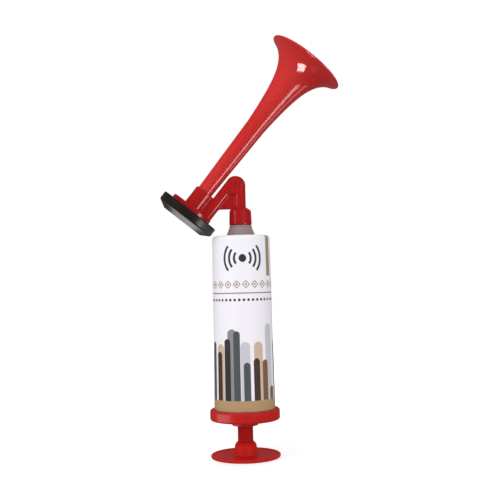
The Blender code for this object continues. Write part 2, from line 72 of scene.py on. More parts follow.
# Fineness
TURNS = 144
PIPE_TURNS = 72
ARC_STEPS = 6
FLARE_STEPS = 48
LIP_STEPS = 10
ROD_TURNS = 96
WRAP_STEPS = 260
WALL_STEPS = 60
TURN_IN_STEPS = 6
HEAD_VOXEL = 0.00026
HEAD_SMOOTHING = 9
SHARP_ANGLE = math.radians(32)
ARC_SHARE = 0.45
SUPPORT_MARGIN = 0.00012
MERGE_DISTANCE = 1e-7

# Edges
TINY_EDGE = 0.0001
CRISP_EDGE = 0.0002
SOFT_EDGE = 0.0003
EASED_EDGE = 0.0004
ROUND_EDGE = 0.0005
BLUNT_EDGE = 0.0006
HANDLE_ROUNDING = 0.0008
HUB_FILLET = 0.0010
BACK_CAP_RIM_ROUNDING = 0.0007
BACK_CAP_FACE_ROUNDING = 0.0008
BACK_CAP_BEVEL_ROUNDING = 0.0012

# Walls, steps and roundings that the frame's boxes don't show
GAP = 0.0003
HANDLE_THICKNESS = 0.0018
HANDLE_RIM_WIDTH = 0.0014
HANDLE_DISH = 0.00045
HUB_FOOT_RADIUS = 0.0069
HUB_TOP_RADIUS = 0.0061
HUB_CHAMFER = 0.0014
CAP_FLOOR = 0.0015
CAP_ROUNDING = 0.0012
BOSS_DROP = 0.0032
BOSS_RADIUS = 0.0076
GUIDE_GAP = 0.0008
BARREL_TOP_RADIUS = 0.0160
BARREL_DRAFT = math.radians(0.5)
BARREL_WALL = 0.0016
SHOULDER_THICKNESS = 0.0018
SHOULDER_ROUNDING = 0.0013
NECK_FOOT_RADIUS = 0.0086
NECK_TOP_RADIUS = 0.0063
NECK_HEIGHT = 0.0065
NECK_LIP = 0.0008
NECK_BORE_RADIUS = 0.0032
SPIGOT_RADIUS = 0.0049
SPIGOT_LENGTH = 0.0075
SLEEVE_THICKNESS = 0.0003
SLEEVE_OVERLAP = 0.0035
SLEEVE_FLAP = 0.0040
SLEEVE_FLAP_RISE = 0.00008
SLEEVE_CLIMB_ANGLE = 0.06
FILM_SHARE = 0.65
SNAP_NECK_RADIUS = 0.0030
SNAP_NECK_LENGTH = 0.0070
SNAP_CATCH = 0.00055
SNAP_HEAD_LENGTH = 0.0032
ROD_WALL = 0.0015

# Socket and elbow
SOCKET_RADIUS = 0.0065
SOCKET_TOP_RADIUS = 0.0062
SOCKET_HEIGHT = 0.0083
SOCKET_SHOULDER = 0.0018
PIPE_RADIUS = 0.0033
BEND_RADIUS = 0.0024
BEND_SWELL = 0.00006
BEND_STEPS = 28
BEND_OVERRUN = math.radians(4)
PIPE_OVERLAP = 0.0005
FILL_DROP = 0.0050
FILL_THICKNESS = 0.0056
APEX_HEIGHT = 0.0296
TRUMPET_LEAN = math.radians(39.2)
TRUMPET_OFFSET = 0.00937
WEB_THICKNESS = 0.0024
WEB_FOOT_HEIGHT = 0.0093

# Chamber, collar and trumpet, measured along the trumpet's axis
CHAMBER_DROP = 0.0315
FLANGE_RADIUS = 0.0130
CHAMBER_RADIUS = 0.0114
CHAMBER_ROOF = 0.0015
CHAMBER_DEPTH = 0.0034
CLAMP_RIM_RADIUS = 0.0162
CLAMP_RIM_THICKNESS = 0.0014
THROAT_RADIUS = 0.0033
THROAT_WALL = 0.0015
COLLAR_RADIUS = 0.00565
COLLAR_LENGTH = 0.0113
TRUMPET_STOP_DEPTH = 0.0110
FILM_THICKNESS = 0.0003
RING_THICKNESS = 0.0009
BACK_CAP_RADIUS = 0.0182
BACK_CAP_FLOOR = 0.0015
BACK_CAP_FACE_RADIUS = 0.0130
BACK_CAP_BEVEL = 0.0030
BACK_CAP_REACH = 0.0011
BACK_SPACE = 0.00185
LEDGE_WIDTH = 0.0021
SNAP_BEAD = 0.0006
VENT_RADIUS = 0.0010
TRUMPET_TUBE_RADIUS = 0.00457
TRUMPET_TAPER = 0.0257
TRUMPET_REACH = 0.0743
TRUMPET_WALL = 0.0012
MOUTH_RADIUS = 0.02375
FLARE_LENGTH = 0.0465
FLARE_CURL = 0.0079

# Levels up the pump axis, from the frame
handle_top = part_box("handle")[1].z
handle_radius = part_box("handle")[1].x
rod_foot, rod_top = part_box("plunger_rod")[0].z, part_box("plunger_rod")[1].z
rod_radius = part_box("plunger_rod")[1].x
boss_foot, cap_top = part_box("end_cap")[0].z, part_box("end_cap")[1].z
cap_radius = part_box("end_cap")[1].x
barrel_foot, spigot_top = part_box("pump_barrel")[0].z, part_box("pump_barrel")[1].z
sleeve_foot, sleeve_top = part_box("label_sleeve")[0].z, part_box("label_sleeve")[1].z
cap_foot = boss_foot + BOSS_DROP
neck_top = spigot_top - SPIGOT_LENGTH
shoulder = neck_top - NECK_HEIGHT
rod_shoulder = rod_top - SNAP_HEAD_LENGTH - SNAP_NECK_LENGTH
socket_foot = neck_top + GAP

# Levels along the trumpet's axis
flange_face = -CHAMBER_DROP
collar_top = flange_face + COLLAR_LENGTH
trumpet_foot = collar_top - TRUMPET_STOP_DEPTH + GAP
chamber_roof = flange_face - CHAMBER_ROOF
seat = chamber_roof - CHAMBER_DEPTH
rim_face = seat + CLAMP_RIM_THICKNESS
ledge = seat - 3 * GAP - FILM_THICKNESS - RING_THICKNESS
back_cap_edge = rim_face + BACK_CAP_REACH
back_cap_inside = ledge - BACK_SPACE
back_cap_face = back_cap_inside - BACK_CAP_FLOOR
back_cap_inner_radius = CLAMP_RIM_RADIUS + GAP

# Places of the elbow and the trumpet
apex = np.array([0.0, 0.0, socket_foot + APEX_HEIGHT])
slant = np.array([-math.sin(TRUMPET_LEAN), 0.0, -math.cos(TRUMPET_LEAN)])
across = np.array([math.cos(TRUMPET_LEAN), 0.0, -math.sin(TRUMPET_LEAN)])
trumpet_place = np.eye(4)
trumpet_place[:3, 0] = across
trumpet_place[:3, 2] = -slant
trumpet_place[:3, 3] = apex - across * TRUMPET_OFFSET


def raised(height):
    """Placing that lifts a shape up the pump axis."""
    place = np.eye(4)
    place[2, 3] = height
    return place


def barrel_radius(height):
    """Outer radius of the drafted barrel: its shoulder's radius plus the draft's tangent times the depth."""
    return BARREL_TOP_RADIUS + (shoulder - height) * math.tan(BARREL_DRAFT)


def rounded(corners):
    """Outline of (radius, height, rounding) corners.

    Each rounded corner is the arc that touches both of its sides, turned in equal steps from the first side's
    touching point to the second's, and reaching at most a set share of a side.
    """
    corners = np.array(corners, float)
    spots = corners[:, :2]
    before = np.roll(spots, 1, axis=0) - spots
    after = np.roll(spots, -1, axis=0) - spots
    outline = []
    for spot, back, on, rounding in zip(spots, before, after, corners[:, 2]):
        if rounding <= 0:
            outline.append(spot[None])
            continue
        back_length, on_length = np.linalg.norm(back), np.linalg.norm(on)
        back, on = back / back_length, on / on_length
        half = math.acos(np.clip(back @ on, -1, 1)) / 2
        reach = min(rounding / math.tan(half), ARC_SHARE * back_length, ARC_SHARE * on_length)
        share = np.linspace(0, 1, ARC_STEPS + 1)[:, None]
        blend = math.pi / 2 - half
        aim = (back + on) / np.linalg.norm(back + on)
        centre = spot + aim * reach / math.cos(half)
        side = np.array([-aim[1], aim[0]])
        side = side if side @ back > 0 else -side
        angle = blend * (1 - 2 * share)
        radius = reach * math.tan(half)
        outline.append(centre + radius * (side * np.sin(angle) - aim * np.cos(angle)))
    return np.concatenate(outline)


def supported(outline):
    """Outline with a point a margin inside both ends of each long side, so that its shading stays flat."""
    following = np.roll(outline, -1, axis=0)
    side = following - outline
    length = np.linalg.norm(side, axis=1, keepdims=True)
    long = length > 6 * SUPPORT_MARGIN
    step = np.where(long, side / np.maximum(length, MERGE_DISTANCE) * SUPPORT_MARGIN, 0)
    threefold = np.stack([outline, outline + step, following - step], axis=1)
    keep = np.stack([length[:, 0] > 0, long[:, 0], long[:, 0]], axis=1)
    return threefold[keep]


def piece(name, points, faces, material):
    """Mesh object at the origin: doubles merged, faces pointing outwards, smooth but for its sharp edges."""
    mesh = bpy.data.meshes.new(name)
    mesh.from_pydata(points.tolist(), [], faces.tolist())
    shape = bmesh.new()
    shape.from_mesh(mesh)
    bmesh.ops.remove_doubles(shape, verts=shape.verts[:], dist=MERGE_DISTANCE)
    bmesh.ops.recalc_face_normals(shape, faces=shape.faces[:])
    shape.to_mesh(mesh)
    shape.free()
    mesh.shade_smooth()
    mesh.set_sharp_from_angle(angle=SHARP_ANGLE)
    mesh.materials.append(material)
    item = bpy.data.objects.new(name, mesh)
    bpy.context.scene.collection.objects.link(item)
    return item


def grid_faces(rows, columns, wrap_rows):
    """Quads of a grid of points, joined round its columns, and round its rows too where wrap_rows is set."""
    row = np.arange(rows if wrap_rows else rows - 1)[:, None]
    column = np.arange(columns)[None]
    next_row, next_column = (row + 1) % rows, (column + 1) % columns
    corners = [row * columns + column, row * columns + next_column]
    corners += [next_row * columns + next_column, next_row * columns + column]
    return np.stack(np.broadcast_arrays(*corners), axis=-1).reshape(-1, 4)


def turned(outline, place=None, turns=TURNS):
    """Points and faces of a closed outline turned round an axis.

    A point is (radius times cosine, radius times sine, height) of the angle, carried by the placing.
    """
    outline = supported(np.asarray(outline))
    angle = np.linspace(0, 2 * math.pi, turns, endpoint=False)
    radius, height = outline[:, :1], outline[:, 1:]
    level = np.broadcast_to(height, (len(outline), turns))
    points = np.stack([radius * np.cos(angle), radius * np.sin(angle), level], axis=-1).reshape(-1, 3)
    if place is not None:
        points = points @ place[:3, :3].T + place[:3, 3]
    return points, grid_faces(len(outline), turns, True)


def swept(centres, outwards, radius, floor=None):
    """Points and faces of a round bar along a line of centres in the XZ plane, closed at both ends.

    A point is the centre plus the outward direction times the cosine, and Y times the sine. The outward share
    stays above floor, so that a tight bend doesn't fold through its own centre.
    """
    angle = np.linspace(0, 2 * math.pi, PIPE_TURNS, endpoint=False)
    out = radius * np.cos(angle)
    if floor is not None:
        out = np.maximum(out, floor)
    aside = radius * np.sin(angle)
    rings = centres[:, None] + outwards[:, None] * out[None, :, None]
    rings[..., 1] += aside
    ends = np.broadcast_to(centres[[0, -1], None], (2, PIPE_TURNS, 3))
    points = np.concatenate([ends[:1], rings, ends[1:]]).reshape(-1, 3)
    return points, grid_faces(len(centres) + 2, PIPE_TURNS, False)


def plate(corners, thickness):
    """Points and faces of a flat plate of four (x, z) corners, centred on the XZ plane."""
    corners = np.array(corners)
    near = np.stack([corners[:, 0], np.full(4, -thickness / 2), corners[:, 1]], axis=-1)
    far = near * [1, -1, 1]
    middle_near, middle_far = near.mean(axis=0), far.mean(axis=0)
    points = np.stack([np.tile(middle_near, (4, 1)), near, far, np.tile(middle_far, (4, 1))])
    return points.reshape(-1, 3), grid_faces(4, 4, False)


def joined(*shapes):
    """Points and faces of several closed shapes as one."""
    counts = np.cumsum([0] + [len(points) for points, faces in shapes[:-1]])
    points = np.concatenate([points for points, faces in shapes])
    faces = np.concatenate([faces + start for (_, faces), start in zip(shapes, counts)])
    return points, faces


def finished(item, modifier_name):
    """Applies a modifier to the mesh."""
    with bpy.context.temp_override(object=item, active_object=item, selected_objects=[item]):
        bpy.ops.object.modifier_apply(modifier=modifier_name)


# Materials


class Finish:
    """Node material under construction: short calls that each add one node and return its output."""

    def __init__(self, name):
        self.material = bpy.data.materials.new(name)
        self.material.use_nodes = True
        self.nodes = self.material.node_tree.nodes
        self.links = self.material.node_tree.links
        self.shader = self.nodes["Principled BSDF"]
        self.place = self.nodes.new("ShaderNodeTexCoord").outputs["Object"]

    def feed(self, socket, value):
        """Links a node's output to a socket, or sets the socket to a plain value."""
        if isinstance(value, bpy.types.NodeSocket):
            self.links.new(value, socket)
        else:
            socket.default_value = value

    def sum(self, operation, *values):
        """One arithmetic node, such as ADD or MAXIMUM, on outputs or numbers."""
        node = self.nodes.new("ShaderNodeMath")
        node.operation = operation
        for socket, value in zip(node.inputs, values):
            self.feed(socket, value)
        return node.outputs[0]

    def noise(self, scale, detail=2.0, roughness=0.5, stretch=(1, 1, 1)):
        """Noise on Object coordinates, with features about 1/scale metres across."""
        mapping = self.nodes.new("ShaderNodeMapping")
        mapping.inputs["Scale"].default_value = stretch
        self.links.new(self.place, mapping.inputs["Vector"])
        node = self.nodes.new("ShaderNodeTexNoise")
        node.inputs["Scale"].default_value = scale
        node.inputs["Detail"].default_value = detail
        node.inputs["Roughness"].default_value = roughness
        self.links.new(mapping.outputs[0], node.inputs["Vector"])
        return node.outputs["Fac"]

    def ranged(self, value, low, high, to_low, to_high):
        """Value carried from one range to another and held at its ends."""
        node = self.nodes.new("ShaderNodeMapRange")
        for socket, given in zip(node.inputs, (value, low, high, to_low, to_high)):
            self.feed(socket, given)
        return node.outputs[0]

    def mixed(self, share, first, second):
        """Colour between the first and the second, by share."""
        node = self.nodes.new("ShaderNodeMix")
        node.data_type = "RGBA"
        self.feed(node.inputs["Factor"], share)
        for socket, colour in ((node.inputs[6], first), (node.inputs[7], second)):
            self.feed(socket, colour if isinstance(colour, bpy.types.NodeSocket) else (*colour, 1.0))
        return node.outputs[2]

    def bumped(self, height, depth):
        """Relief of a height between 0 and 1, depth metres deep."""
        node = self.nodes.new("ShaderNodeBump")
        node.inputs["Strength"].default_value = 1.0
        node.inputs["Distance"].default_value = depth
        self.links.new(height, node.inputs["Height"])
        self.links.new(node.outputs["Normal"], self.shader.inputs["Normal"])

    def set(self, **inputs):
        """Sets or links the shader's inputs by name, with _ for a space."""
        for name, value in inputs.items():
            self.feed(self.shader.inputs[name.replace("_", " ")], value)


def moulded_plastic(name, colour, dark, roughness, waviness=0.00000035, specular=0.5):
    """Injection-moulded plastic: slow flow clouds between two tones, faint ripple and a little haze."""
    finish = Finish(name)
    clouds = finish.noise(30, 1.0, 0.4, (1, 1, 0.6))
    haze = finish.noise(90, 2.0, 0.5)
    tone = finish.mixed(finish.ranged(clouds, 0.35, 0.65, 0.0, 1.0), colour, dark)
    finish.set(Base_Color=tone, Roughness=finish.ranged(haze, 0.3, 0.75, roughness * 0.85, roughness * 1.2))
    finish.shader.inputs["IOR"].default_value = 1.5
    finish.shader.inputs["Specular IOR Level"].default_value = specular
    finish.bumped(finish.noise(120, 1.0, 0.4), waviness)
    return finish.material


red_bell = moulded_plastic("bell_red", (0.62, 0.034, 0.032), (0.57, 0.024, 0.022), 0.12)
# Darker red for the head than for the bell: painted shade, standing in for the shade on the collar and elbow.
red_head_painted_shade = moulded_plastic("head_red_painted_shade", (0.44, 0.010, 0.011), (0.38, 0.008, 0.009), 0.16)
red_cap = moulded_plastic("cap_red", (0.54, 0.012, 0.009), (0.48, 0.009, 0.007), 0.28)
# Lighter red for the handle than for the cap: painted light, standing in for more light falling on the disc's
# top.
red_handle_painted_light = moulded_plastic("handle_red", (0.60, 0.012, 0.010), (0.54, 0.010, 0.009), 0.25, specular=0.25)
# Darker red for the rod than for the cap: painted shade, standing in for the shade under the end cap.
red_rod_painted_shade = moulded_plastic("rod_red", (0.40, 0.008, 0.007), (0.35, 0.006, 0.006), 0.22)
barrel_grey = moulded_plastic("barrel_mauve", (0.35, 0.265, 0.262), (0.31, 0.23, 0.228), 0.34)
cap_black = moulded_plastic("chamber_black", (0.012, 0.009, 0.008), (0.018, 0.013, 0.012), 0.33)
piston_white = moulded_plastic("piston_white", (0.74, 0.74, 0.71), (0.68, 0.68, 0.65), 0.36)
ring_grey = moulded_plastic("ring_grey", (0.09, 0.09, 0.09), (0.07, 0.07, 0.07), 0.45)


def greased_rubber():
    """Black rubber with a thin film of grease: dull ground with smooth patches."""
    finish = Finish("seal_rubber")
    patches = finish.noise(320, 3.0, 0.6)
    finish.set(Base_Color=finish.mixed(patches, (0.012, 0.012, 0.012), (0.03, 0.03, 0.032)))
    finish.set(Roughness=finish.ranged(patches, 0.4, 0.6, 0.25, 0.65))
    finish.bumped(finish.noise(1800, 3.0, 0.6), 0.00002)
    return finish.material


def stretched_film():
    """Milky stretched film of the diaphragm, with faint ripples from its clamping."""
    finish = Finish("diaphragm_film")
    clouds = finish.noise(90, 2.0, 0.5)
    finish.set(Base_Color=finish.mixed(clouds, (0.72, 0.72, 0.68), (0.62, 0.62, 0.58)), Roughness=0.18)
    finish.bumped(finish.noise(260, 1.0, 0.4), 0.00003)
    return finish.material


CHARCOAL = (0.030, 0.030, 0.034)
SLATE = (0.075, 0.088, 0.092)
UMBER = (0.060, 0.032, 0.022)
CHESTNUT = (0.20, 0.105, 0.060)
TAN = (0.45, 0.29, 0.15)
SMOKE = (0.27, 0.25, 0.26)
SILVER = (0.60, 0.59, 0.63)
PALE_TAN = (0.62, 0.47, 0.34)
GOLD = (0.36, 0.255, 0.15)
FILM_WHITE = (0.91, 0.88, 0.95)


class Print(Finish):
    """Printed film. Places on it are in millimetres: along from the front's middle line, up from its foot."""

    def __init__(self, name, around, height):
        super().__init__(name)
        uv = self.nodes.new("ShaderNodeUVMap")
        uv.uv_map = "print"
        split = self.nodes.new("ShaderNodeSeparateXYZ")
        self.links.new(uv.outputs[0], split.inputs[0])
        self.along = self.sum("MULTIPLY", self.sum("SUBTRACT", split.outputs[0], 0.5), around * 1000)
        self.up = self.sum("MULTIPLY", split.outputs[1], height * 1000)

    def within(self, value, low, high, soft=0.06):
        """1 between low and high, fading over soft millimetres outside."""
        rise = self.ranged(value, low - soft, low + soft, 0.0, 1.0)
        fall = self.ranged(value, high - soft, high + soft, 1.0, 0.0)
        return self.sum("MULTIPLY", rise, fall)

    def distance(self, aside, above):
        """Straight distance of two offsets square to each other."""
        squares = self.sum("ADD", self.sum("MULTIPLY", aside, aside), self.sum("MULTIPLY", above, above))
        return self.sum("POWER", squares, 0.5)

    def repeated(self, pitch):
        """Millimetres from the middle of the nearest of columns spaced round the film."""
        share = self.sum("FRACT", self.sum("DIVIDE", self.sum("ADD", self.along, 100 * pitch), pitch))
        return self.sum("MULTIPLY", self.sum("SUBTRACT", share, 0.5), pitch)

    def bars(self, pitch, shift, half_width, lowest, span, seed):
        """Upright bars with round tops, of chance heights, and the number of the bar at each place."""
        place = self.sum("DIVIDE", self.sum("ADD", self.along, shift), pitch)
        column = self.sum("FLOOR", place)
        aside = self.sum("MULTIPLY", self.sum("SUBTRACT", self.sum("SUBTRACT", place, column), 0.5), pitch)
        rise = self.sum("MULTIPLY", self.random(column, seed), span)
        over = self.sum("SUBTRACT", self.up, self.sum("ADD", rise, lowest - half_width))
        reach = self.distance(aside, self.sum("MAXIMUM", over, 0.0))
        return self.within(reach, -1.0, half_width), column

    def random(self, *place):
        """Chance value from 0 to 1, the same all over one column of one seed."""
        node = self.nodes.new("ShaderNodeTexWhiteNoise")
        node.noise_dimensions = "2D"
        join = self.nodes.new("ShaderNodeCombineXYZ")
        for socket, value in zip(join.inputs, place):
            self.feed(socket, value)
        self.links.new(join.outputs[0], node.inputs["Vector"])
        return node.outputs["Value"]


# Print, in millimetres up the film, or along it from the front's middle line
BAND_TOP = 6.0
BACK_BARS, BACK_BAR_SHIFT, BACK_BAR_HALF, BACK_BAR_LOWEST, BACK_BAR_SPAN = 14, 2.4, 2.7, 27.0, 27.0
FRONT_BARS, FRONT_BAR_SHIFT, FRONT_BAR_HALF, FRONT_BAR_LOWEST, FRONT_BAR_SPAN = 19, 0.6, 1.9, 13.0, 33.0
DOT_ROW, DOT_PITCH, DOT_RADIUS = 61.8, 2.63, 0.75
GOLD_LINE = (65.2, 65.9)
LOZENGE_ROW, LOZENGE_PITCH, LOZENGE_RING, LOZENGE_CORE = 70.4, 5.26, (1.6, 2.3), 0.8
EMBLEM_ALONG, EMBLEM_UP, EMBLEM_DOT = 1.0, 85.0, 2.2
WAVES = ((4.2, 5.5), (7.2, 8.5), (10.2, 11.5))
WAVE_STEEPNESS = (0.78, 0.84)
RIBBON_ALONG, RIBBON_UP = (17.0, 21.0), (75.0, 130.0)


def bar_rows(p, around):
    """Colour of the film with two rows of bars: broad pale ones behind, slim dark ones before them."""
    length = around * 1000
    tall, column = p.bars(
        length / BACK_BARS, BACK_BAR_SHIFT, BACK_BAR_HALF, BACK_BAR_LOWEST, BACK_BAR_SPAN, 3.0
    )
    chance = p.random(column, 12.0)
    shade = p.mixed(p.sum("GREATER_THAN", chance, 0.4), SILVER, PALE_TAN)
    shade = p.mixed(p.sum("GREATER_THAN", chance, 0.75), shade, SMOKE)
    ink = p.mixed(tall, FILM_WHITE, shade)
    short, column = p.bars(
        length / FRONT_BARS, FRONT_BAR_SHIFT, FRONT_BAR_HALF, FRONT_BAR_LOWEST, FRONT_BAR_SPAN, 8.0
    )
    chance = p.random(column, 6.0)
    shade = p.mixed(p.sum("GREATER_THAN", chance, 0.35), SLATE, CHARCOAL)
    shade = p.mixed(p.sum("GREATER_THAN", chance, 0.50), shade, UMBER)
    shade = p.mixed(p.sum("GREATER_THAN", chance, 0.72), shade, CHESTNUT)
    return p.mixed(short, ink, shade)


def sound_waves(p):
    """1 on a dot and on the rings round it, where these aren't too steep above or below the dot."""
    aside = p.sum("SUBTRACT", p.along, EMBLEM_ALONG)
    above = p.sum("SUBTRACT", p.up, EMBLEM_UP)
    reach = p.distance(aside, above)
    rings = 0.0
    for low, high in WAVES:
        rings = p.sum("ADD", rings, p.within(reach, low, high))
    steep = p.sum("DIVIDE", p.sum("ABSOLUTE", above), p.sum("MAXIMUM", p.sum("ABSOLUTE", aside), 0.01))
    rings = p.sum("MULTIPLY", rings, p.ranged(steep, *WAVE_STEEPNESS, 1.0, 0.0))
    return p.sum("MINIMUM", p.sum("ADD", rings, p.within(reach, -1.0, EMBLEM_DOT)), 1.0)


def label_print(around, height):
    """White film printed with a generic sound theme.

    From the foot up: a tan band, two rows of round-topped bars like a level meter's, a row of dots under a
    line and a row of lozenges, and sound waves on both sides of a dot. A gold ribbon hangs at the top right.
    """
    p = Print("label_print", around, height)
    ink = bar_rows(p, around)

    aside = p.sum("ABSOLUTE", p.repeated(LOZENGE_PITCH))
    spread = p.sum("ADD", aside, p.sum("ABSOLUTE", p.sum("SUBTRACT", p.up, LOZENGE_ROW)))
    lozenges = p.sum("ADD", p.within(spread, *LOZENGE_RING), p.within(spread, -1.0, LOZENGE_CORE))
    gold = p.sum("MINIMUM", p.sum("ADD", lozenges, p.within(p.up, *GOLD_LINE)), 1.0)
    ink = p.mixed(gold, ink, GOLD)
    from_dot = p.distance(p.repeated(DOT_PITCH), p.sum("SUBTRACT", p.up, DOT_ROW))
    ink = p.mixed(p.within(from_dot, -1.0, DOT_RADIUS), ink, CHARCOAL)
    ink = p.mixed(sound_waves(p), ink, CHARCOAL)
    ribbon = p.sum("MULTIPLY", p.within(p.along, *RIBBON_ALONG), p.within(p.up, *RIBBON_UP))
    ink = p.mixed(ribbon, ink, GOLD)
    ink = p.mixed(p.within(p.up, -5.0, BAND_TOP, 0.15), ink, TAN)

    grain = p.noise(900, 3.0, 0.6)
    ink = p.mixed(p.ranged(grain, 0.3, 0.8, 0.0, 0.05), ink, (0.5, 0.5, 0.52))
    p.set(Base_Color=ink, Roughness=p.ranged(p.noise(120, 3.0, 0.6), 0.3, 0.7, 0.30, 0.40))
    p.shader.inputs["IOR"].default_value = 1.5
    p.bumped(p.sum("ADD", p.noise(60, 2.0, 0.5), p.sum("MULTIPLY", grain, 0.02)), 0.00003)
    return p.material


# Pieces


def outer_piece(name, shape, material, body, node):
    """Piece that stands for a node of the frame, rides on its body and takes its finish from a slot."""
    item = piece(name, *shape, material)
    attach(item, body)
    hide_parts(node)
    return item


def grip_disc():
    """Dished handle disc with a raised rim and a conical hub round the rod's foot."""
    dish = HANDLE_THICKNESS - HANDLE_DISH
    rim = handle_radius - HANDLE_RIM_WIDTH
    socket = rod_radius + GAP
    peg = rod_radius - ROD_WALL - GAP
    return rounded(
        [
            (0, 0, 0),
            (handle_radius, 0, HANDLE_ROUNDING),
            (handle_radius, HANDLE_THICKNESS, HANDLE_ROUNDING),
            (rim, HANDLE_THICKNESS, ROUND_EDGE),
            (rim - HANDLE_DISH, dish, ROUND_EDGE),
            (HUB_FOOT_RADIUS, dish, HUB_FILLET),
            (HUB_TOP_RADIUS, handle_top - HUB_CHAMFER, SOFT_EDGE),
            (socket + GAP, handle_top, TINY_EDGE),
            (socket, handle_top, 0),
            (socket, HANDLE_THICKNESS, 0),
            (peg, HANDLE_THICKNESS, 0),
            (peg, handle_top, EASED_EDGE),
            (0, handle_top, 0),
        ]
    )


def rod_tube():
    """Rod with its snap head at the top, closed over its hollow foot."""
    head = SNAP_NECK_RADIUS + SNAP_CATCH
    return rounded(
        [
            (0, rod_foot, 0),
            (rod_radius - ROD_WALL, rod_foot, 0),
            (rod_radius, rod_foot, SOFT_EDGE),
            (rod_radius, rod_shoulder, SOFT_EDGE),
            (SNAP_NECK_RADIUS, rod_shoulder, 0),
            (SNAP_NECK_RADIUS, rod_shoulder + SNAP_NECK_LENGTH, 0),
            (head, rod_shoulder + SNAP_NECK_LENGTH, TINY_EDGE),
            (head, rod_shoulder + SNAP_NECK_LENGTH + SNAP_HEAD_LENGTH / 3, SOFT_EDGE),
            (SNAP_NECK_RADIUS - SNAP_CATCH, rod_top, SOFT_EDGE),
            (0, rod_top, 0),
        ]
    )


def foot_cup():
    """End cap: a cup round the barrel's foot with a boss that guides the rod."""
    guide = rod_radius + GUIDE_GAP
    cup = barrel_radius(barrel_foot) + GAP
    floor = cap_foot + CAP_FLOOR
    return rounded(
        [
            (guide, boss_foot, SOFT_EDGE),
            (BOSS_RADIUS, boss_foot, BLUNT_EDGE),
            (BOSS_RADIUS, cap_foot, EASED_EDGE),
            (cap_radius, cap_foot, CAP_ROUNDING),
            (cap_radius, cap_top, CAP_ROUNDING),
            (cup, cap_top, SOFT_EDGE),
            (cup, floor, 0),
            (guide, floor, SOFT_EDGE),
        ]
    )


def barrel_tube():
    """Drafted barrel with its shoulder, a conical neck with a lip, and the spigot that the horn turns on."""
    bore = BARREL_TOP_RADIUS - BARREL_WALL
    bore_top = shoulder - SHOULDER_THICKNESS
    return rounded(
        [
            (barrel_radius(barrel_foot), barrel_foot, SOFT_EDGE),
            (BARREL_TOP_RADIUS, shoulder, SHOULDER_ROUNDING),
            (NECK_FOOT_RADIUS, shoulder, BLUNT_EDGE),
            (NECK_TOP_RADIUS, neck_top - NECK_LIP, TINY_EDGE),
            (SOCKET_RADIUS, neck_top - NECK_LIP, TINY_EDGE),
            (SOCKET_RADIUS, neck_top, SOFT_EDGE),
            (SPIGOT_RADIUS, neck_top, 0),
            (SPIGOT_RADIUS, spigot_top, ROUND_EDGE),
            (NECK_BORE_RADIUS, spigot_top, SOFT_EDGE),
            (NECK_BORE_RADIUS, bore_top, 0),
            (bore, bore_top, CRISP_EDGE),
            (bore, barrel_foot, CRISP_EDGE),
        ]
    )


def label_wrap():
    """Film wrapped round the barrel, rolled in over the shoulder and lapped over itself down the back.

    The inner face's line runs up the drafted wall, round the shoulder and in over it, and the outer face
    lies a film outside it, square to it. The angle goes once round from the back and past the start by the
    lap, where the film climbs over its first edge.
    """
    top = sleeve_top - SLEEVE_THICKNESS
    inner = rounded(
        [
            (barrel_radius(sleeve_foot) + GAP, sleeve_foot, 0),
            (BARREL_TOP_RADIUS + GAP, top, SHOULDER_ROUNDING + GAP),
            (BARREL_TOP_RADIUS - SLEEVE_OVERLAP, top, 0),
            (0, sleeve_foot, 0),
        ]
    )[:-1]
    wall = np.linspace(inner[0], inner[1], WALL_STEPS)[:-1]
    turn_in = np.linspace(inner[-2], inner[-1], TURN_IN_STEPS)[1:]
    line = np.concatenate([wall, inner[1:-1], turn_in])
    along = np.gradient(line, axis=0)
    along /= np.linalg.norm(along, axis=1, keepdims=True)
    normal = np.stack([along[:, 1], -along[:, 0]], axis=1)
    steps = WRAP_STEPS
    turn = np.linspace(0, 2 * math.pi + SLEEVE_FLAP / BARREL_TOP_RADIUS, steps)
    angle = math.pi / 2 + turn
    climb = np.clip((turn - 2 * math.pi + SLEEVE_CLIMB_ANGLE) / SLEEVE_CLIMB_ANGLE, 0, 1)
    climb = climb * climb * (3 - 2 * climb) * (SLEEVE_THICKNESS * (1 - FILM_SHARE) + SLEEVE_FLAP_RISE)
    thin = SLEEVE_THICKNESS * FILM_SHARE
    faces_out = line[:, None] + normal[:, None] * (thin + climb)[None, :, None]
    faces_in = line[:, None] + normal[:, None] * climb[None, :, None]
    rows = np.concatenate([faces_out, faces_in[::-1]])
    points = np.stack([rows[..., 0] * np.cos(angle), rows[..., 0] * np.sin(angle), rows[..., 1]], axis=-1)
    count = len(rows)
    row, column = np.arange(count)[:, None], np.arange(steps - 1)[None]
    next_row = (row + 1) % count
    corners = [row * steps + column, row * steps + column + 1]
    corners += [next_row * steps + column + 1, next_row * steps + column]
    faces = np.stack(np.broadcast_arrays(*corners), axis=-1).reshape(-1, 4)
    half = np.arange(count // 2 - 1)
    ends = [np.stack([half, half + 1, count - 2 - half, count - 1 - half], axis=-1) * steps]
    ends.append(ends[0][:, ::-1] + steps - 1)
    return points.reshape(-1, 3), np.concatenate([faces, *ends])


def unrolled(item):
    """UV map of the film: across is the angle from the back round the pump axis, up is the height."""
    mesh = item.data
    count = len(mesh.loops)
    corner = np.empty(count, np.int64)
    mesh.loops.foreach_get("vertex_index", corner)
    points = np.empty(len(mesh.vertices) * 3)
    mesh.vertices.foreach_get("co", points)
    points = points.reshape(-1, 3)[corner]
    across = np.arctan2(points[:, 1], points[:, 0]) - math.pi / 2
    across = np.mod(across, 2 * math.pi) / (2 * math.pi)
    starts = np.empty(len(mesh.polygons), np.int64)
    mesh.polygons.foreach_get("loop_start", starts)
    sizes = np.empty(len(mesh.polygons), np.int64)
    mesh.polygons.foreach_get("loop_total", sizes)
    face = np.repeat(np.arange(len(starts)), sizes)
    widest = np.maximum.reduceat(across, starts)
    across = np.where((widest[face] - across) > 0.5, across + 1, across)
    up = (points[:, 2] - sleeve_foot) / (sleeve_top - sleeve_foot)
    layer = mesh.uv_layers.new(name="print")
    layer.data.foreach_set("uv", np.stack([across, up], axis=1).ravel())


